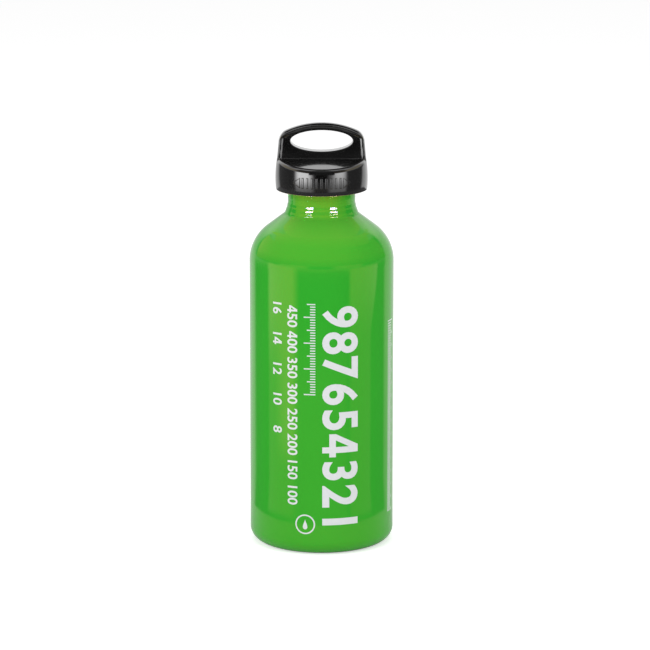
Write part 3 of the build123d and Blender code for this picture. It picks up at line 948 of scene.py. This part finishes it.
floor_material, wire, shader = paint("white_floor")
seen, glossy = seen_rays(wire)
plug_in(shader, Base_Color=glossy.mix(grey(0.8), grey(0.75)), Roughness=0.9, Specular_IOR_Level=0.0,
        Emission_Color=(seen - glossy).mix(grey(0.0), grey(1.0)), Emission_Strength=0.5)
reach = np.array([0.0001, 0.1, 0.3, 1.0, 6.0])[:, None] * 1000
ground = np.stack([reach * np.cos(turns), reach * np.sin(turns), 0 * (reach + turns) - 0.02], axis=2)
paper = mesh_object("floor", ground.reshape(-1, 3), grid_faces(len(reach), ROUND, wrap_columns=True))
paper.data.materials.append(floor_material)

world = bpy.data.worlds.new("studio")
scene.world = world
world.use_nodes = True
for node in list(world.node_tree.nodes):
    world.node_tree.nodes.remove(node)
wire = Wire(world.node_tree)
sky = wire.add("Background", None, {"Color": seen_rays(wire)[0].mix(grey(0.55), grey(1.0)), "Strength": 1.0})
output = world.node_tree.nodes.new("ShaderNodeOutputWorld")
world.node_tree.links.new(sky.socket, output.inputs["Surface"])
print("floor and world ready")


# %% [markdown]
# ## A tent of light for the reflections
# A glossy bottle shows its surroundings more than its own colour. Softboxes, dark cards and bright
# paper could be lamps and boards, one by one. Here they are patches of light on one tent round the
# bottle, which only reflections see: each is a range of azimuth and of height, with soft edges.


# %% The light on the tent
def between(value, low, high, soft_low, soft_high):
    """1 between low and high and 0 outside, with its own softness at each end."""
    return smooth_step(value, low - soft_low, low + soft_low) * (
        1 - smooth_step(value, high - soft_high, high + soft_high))


def tent_light(az, up):
    """Brightness of the tent: az, in degrees, is 0 behind the camera and grows to the right, and up
    runs up the wall to 190 and then on along the dome."""
    # Overhead cloth, brighter to the left, dark behind the top and beside the cap
    side = 1.1 - 0.35 * smooth_step(az, 50, 110)
    light = side * smooth_step(up, 118, 160) * 0.95 + 0.5 * between(up, 290, 362, 12, 12)
    light *= 1 - smooth_step(np.abs(az), 80, 125) * smooth_step(up, 285, 305)
    beside = between(az, -130, -62, 8, 4) + between(az, 58, 130, 4, 8)
    light *= 1 - 0.87 * beside * between(up, 148, 222, 6, 10)
    front = between(az, -19, 17, 6, 7)
    light *= 1 - front * between(up, 146, 262, 5, 6)
    light += 0.2 * front * between(up, 152, 175, 5, 6)
    light += 0.4 * between(az, -40, 36, 12, 4) * (1 - smooth_step(up, 60, 112))
    # Two tall windows on the body, dark strips outside them
    left = between(az, -81, -36, 4, 7) * between(up, -9, 150, 3, 5)
    low_outside = (1 - smooth_step(up, 62, 112)) * (1 - smooth_step(az, -72, -48))
    fade = smooth_step(up, 18, 42) * (1 - low_outside)
    light = light * (1 - left) + left * (0.78 + 1.3 * fade)
    slant = 74 + 13 * smooth_step(up, 88, 125)
    right = between(az, 39, slant, 3, 2) * between(up, -9, 143, 3, 4)
    light = light * (1 - right) + right * (0.62 + 0.75 * smooth_step(up, 84, 132))
    dark = between(az, -117, -84, 3, 3) * (1 - 0.5 * smooth_step(up, 70, 120))
    dark = np.maximum(dark, smooth_step(az, slant - 2, slant + 2))
    dark = dark * (1 - smooth_step(up, 138, 150))
    light = light * (1 - dark) + 0.12 * dark
    # Bright boxes that only the cap can see over the collar
    boxes = 5.9 * between(az, -60, -25, 8, 9) * smooth_step(up, 154, 184)
    boxes = boxes + 4.0 * between(az, 29, 55, 8, 9) * smooth_step(up, 156, 190)
    light += boxes * (1 - smooth_step(up, 206, 221))
    light *= 1 - 0.85 * between(az, -62, 56, 8, 8) * between(up, 218, 258, 5, 8)
    light *= 1 - 0.93 * between(az, -45, 45, 12, 12) * between(up, 262, 366, 8, 5)
    # White paper behind the bottle: its edges lean outwards with height
    rise = smooth_step(up, 150, 245)
    start = 103 + 5 * smooth_step(up, 120, 170) + 17 * rise
    left_start = 117 + 9 * smooth_step(up, 140, 195)
    back = np.maximum(smooth_step(az, start - 3, start + 6),
                      smooth_step(-az, left_start - 6, left_start + 6))
    back = back * (1 - smooth_step(up, 262, 292))
    level = 0.85 - 0.18 * between(up, 150, 186, 6, 6) * smooth_step(-az, 0, 1)
    level = level + 0.45 * smooth_step(up, 188, 215) * (1 - 0.7 * smooth_step(np.abs(az), 150, 170))
    level = level - 0.12 * (1 - smooth_step(up, 0, 90))
    return light * (1 - back) + level * back


print("straight behind the camera the tent's wall glows with", tent_light(0.0, 100.0).round(3))

# %% [markdown]
# ## Close sheets for shoulder, neck and cap
# Each of these mirrors another part of a studio, and one tent can't light them apart. A photographer
# holds small cards close to such places, and here eleven sheets stand 17 to 45 mm from the axis. Like
# the tent, they are no part of the bottle, and only reflections see them.


# %% The light on the close sheets
def collar_light(az, up):
    """Brightness of the collar round the shoulder, which keeps the bright boxes off it."""
    side = 1.08 - 0.7 * smooth_step(az, 5, 80)
    return side * (0.5 + 0.5 * smooth_step(up, 148, 157))


def neck_light(az, up):
    """Brightness of the sheet before the neck, without its cards."""
    light = 2.45 - 1.6 * smooth_step(az, 20, 66) - 1.3 * smooth_step(-az, 46, 82)
    light = light * (0.8 + 0.2 * smooth_step(np.abs(up - 173.4), 0.3, 1.5))
    return light * (1 - 0.45 * smooth_step(up, 174.5, 177.6))


def visor_light(az, up):
    """Brightness of the visor before the rim and the loop: nearly black low down, grey above."""
    return 0.06 + 0.36 * smooth_step(up, 208, 213.5) + 0 * az


print("the visor glows from", visor_light(0.0, 208.0), "to", visor_light(0.0, 213.5).round(2))

# %% [markdown]
# ## From light to sheets
# A sheet is a grid again, and its material only glows, with the colour stored on each point. Picture
# textures could carry the light as well, but points keep it in the formulas above.


# %% The tent and its cloth
def at_azimuth(radius, azimuth, height):
    """Points round the axis; azimuth 0 degrees is towards the camera, and grows to the right."""
    turn = np.radians(azimuth)
    return np.stack([radius * np.sin(turn), -radius * np.cos(turn), height + 0 * turn], axis=2)


def reflector(name, points, light, colour=(1, 1, 1), wrap=False):
    """A sheet that only reflections see, glowing with the brightness stored on its points."""
    rows, columns = light.shape
    made = mesh_object(name, points.reshape(-1, 3), grid_faces(rows, columns, wrap_rows=wrap))
    glow = np.ones((rows * columns, 4), np.float32)
    glow[:, :3] = light.reshape(-1, 1) * np.array(colour)
    made.data.attributes.new("glow", "FLOAT_COLOR", "POINT").data.foreach_set("color", glow.ravel())
    made.data.materials.append(tent_paint)
    made.visible_camera = made.visible_diffuse = made.visible_shadow = False
    made.visible_transmission = made.visible_volume_scatter = False
    print(name, "glows from", light.min(), "to", light.max())


tent_paint, wire, shader = paint("tent_cloth")
tent_paint.cycles.emission_sampling = "NONE"
plug_in(shader, Base_Color=grey(0.0), Roughness=1.0, Specular_IOR_Level=0.0, Emission_Strength=1.0,
        Emission_Color=wire.add("Attribute", {"attribute_name": "glow"}))


# The wall ends in a dome. Below 12 it leans in, so that it meets the floor nearer to the bottle
TENT, WALL_TOP, LEAN_TOP = 120, 190, 12
along = np.concatenate([np.linspace(-LEAN_TOP, WALL_TOP, 102),
                        WALL_TOP + np.arange(3, 91, 3) * np.pi / 180 * TENT])
az, up = np.meshgrid(np.arange(-180, 180, 1.5), along, indexing="ij")
over = np.clip((up - WALL_TOP) / TENT, 0, np.pi / 2)
lean_in = np.clip((LEAN_TOP - up) / (2 * LEAN_TOP), 0, 1)
radius = TENT * np.cos(over) + 0.01 - 28 * lean_in
wall = np.where(up < LEAN_TOP, LEAN_TOP - 11.7 * lean_in, np.minimum(up, WALL_TOP))
# Overhead, where the shoulder looks, the cloth is warmer
share = (between(up, 240, 272, 8, 6) * (1 - smooth_step(np.abs(az), 100, 130)))[..., None]
tint = (1 - share) * np.ones(3) + share * np.array([1, 0.85, 0.5])
reflector("light_tent", at_azimuth(radius, az, wall + TENT * np.sin(over)), tent_light(az, up),
          tint.reshape(-1, 3), wrap=True)


# %% The close sheets
def upright_sheet(name, radius, left, right, low, high, light, colour=(1, 1, 1)):
    """A curved upright sheet; left and right are its edges in degrees, each (at low, at high)."""
    across, up = np.meshgrid(np.linspace(0, 1, 121), np.linspace(low, high, 43), indexing="ij")
    part = (up - low) / (high - low)
    first, last = left[0] + (left[1] - left[0]) * part, right[0] + (right[1] - right[0]) * part
    azimuth = first + (last - first) * across
    reflector(name, at_azimuth(radius, azimuth, up), light(azimuth, up), colour)


def flat_sheet(name, inner, outer, height, span, bright, colour=(1, 1, 1)):
    """A level ring sheet between two radii; bright is its brightness at the inner and outer edge."""
    az, out = np.meshgrid(np.arange(-span, span + 1, 3.0), np.linspace(inner, outer, 9), indexing="ij")
    light = bright[0] + (bright[1] - bright[0]) * (out - inner) / (outer - inner)
    reflector(name, at_azimuth(out, az, height), light * (1 - 0.35 * smooth_step(az, 20, 70)), colour)


warm, pale = (1, 0.8, 0.35), (1, 1, 0.7)
upright_sheet("shoulder_collar", 45, (-84, -101), (80, 88), 148.5, 174, collar_light, warm)
upright_sheet("neck_sheet", 31, (-84, -66), (78, 60), 166.5, 178.45, neck_light, (1, 0.95, 0.2))
for name, first, last in (("neck_card_left", -40, -21), ("neck_card_right", 21, 40)):
    upright_sheet(name, 30.8, (first, first), (last, last), 176.05, 176.75,
                  lambda az, up: 1 + 0 * up, (40, 40, 220))
upright_sheet("neck_wing_left", 31.2, (-89, -89), (-64, -64), 169.8, 173.4,
              lambda az, up: 1.1 + 0.2 * smooth_step(-az, 76, 92), pale)
upright_sheet("neck_wing_right", 31.2, (58, 58), (88, 88), 169.8, 173.4,
              lambda az, up: 0.75 + 0.35 * smooth_step(az, 72, 88), pale)
upright_sheet("cap_visor", 32, (-21, -21), (21, 21), 190, 201, visor_light)
upright_sheet("arch_visor", 32, (-48, -48), (48, 48), 201, 224, visor_light)
flat_sheet("skirt_apron", 17.3, 30.9, 178.5, 90, (0.95, 1.68), warm)
flat_sheet("skirt_shade", 22.2, 30.9, 178.9, 90, (0.25, 0.25))
flat_sheet("neck_hem", 28.6, 40.5, 166.3, 66, (1.45, 1.05), warm)


# %% [markdown]
# ## Lamps
# Matt surfaces, such as the ink, take their light from three large lamps, which leave no hard shadow.
# Reflections don't show them, since the tent is there for those.


# %% Lamps
def soft_lamp(name, place, size, watts):
    """A large area lamp that looks at the middle of the bottle and isn't seen in reflections."""
    data = bpy.data.lights.new(name, "AREA")
    data.shape, data.size, data.size_y, data.energy = "RECTANGLE", size[0], size[1], watts
    lamp = bpy.data.objects.new(name, data)
    lamp.location = place
    lamp.rotation_euler = (Vector((0, 0, 0.1)) - Vector(place)).to_track_quat("-Z", "Y").to_euler()
    scene.collection.objects.link(lamp)
    lamp.visible_glossy = lamp.visible_camera = False
    print(name, "of", watts, "W")


soft_lamp("lamp_left", (-0.9, -0.7, 0.6), (0.8, 0.9), 8.6)
soft_lamp("lamp_right", (0.9, -0.7, 0.6), (0.8, 0.9), 6.8)
soft_lamp("lamp_top", (0.0, 0.1, 1.3), (1.0, 1.0), 5)

# %% [markdown]
# ## View
# The standard view shows white paper as white.

# %% View
scene.view_settings.view_transform = "Standard"
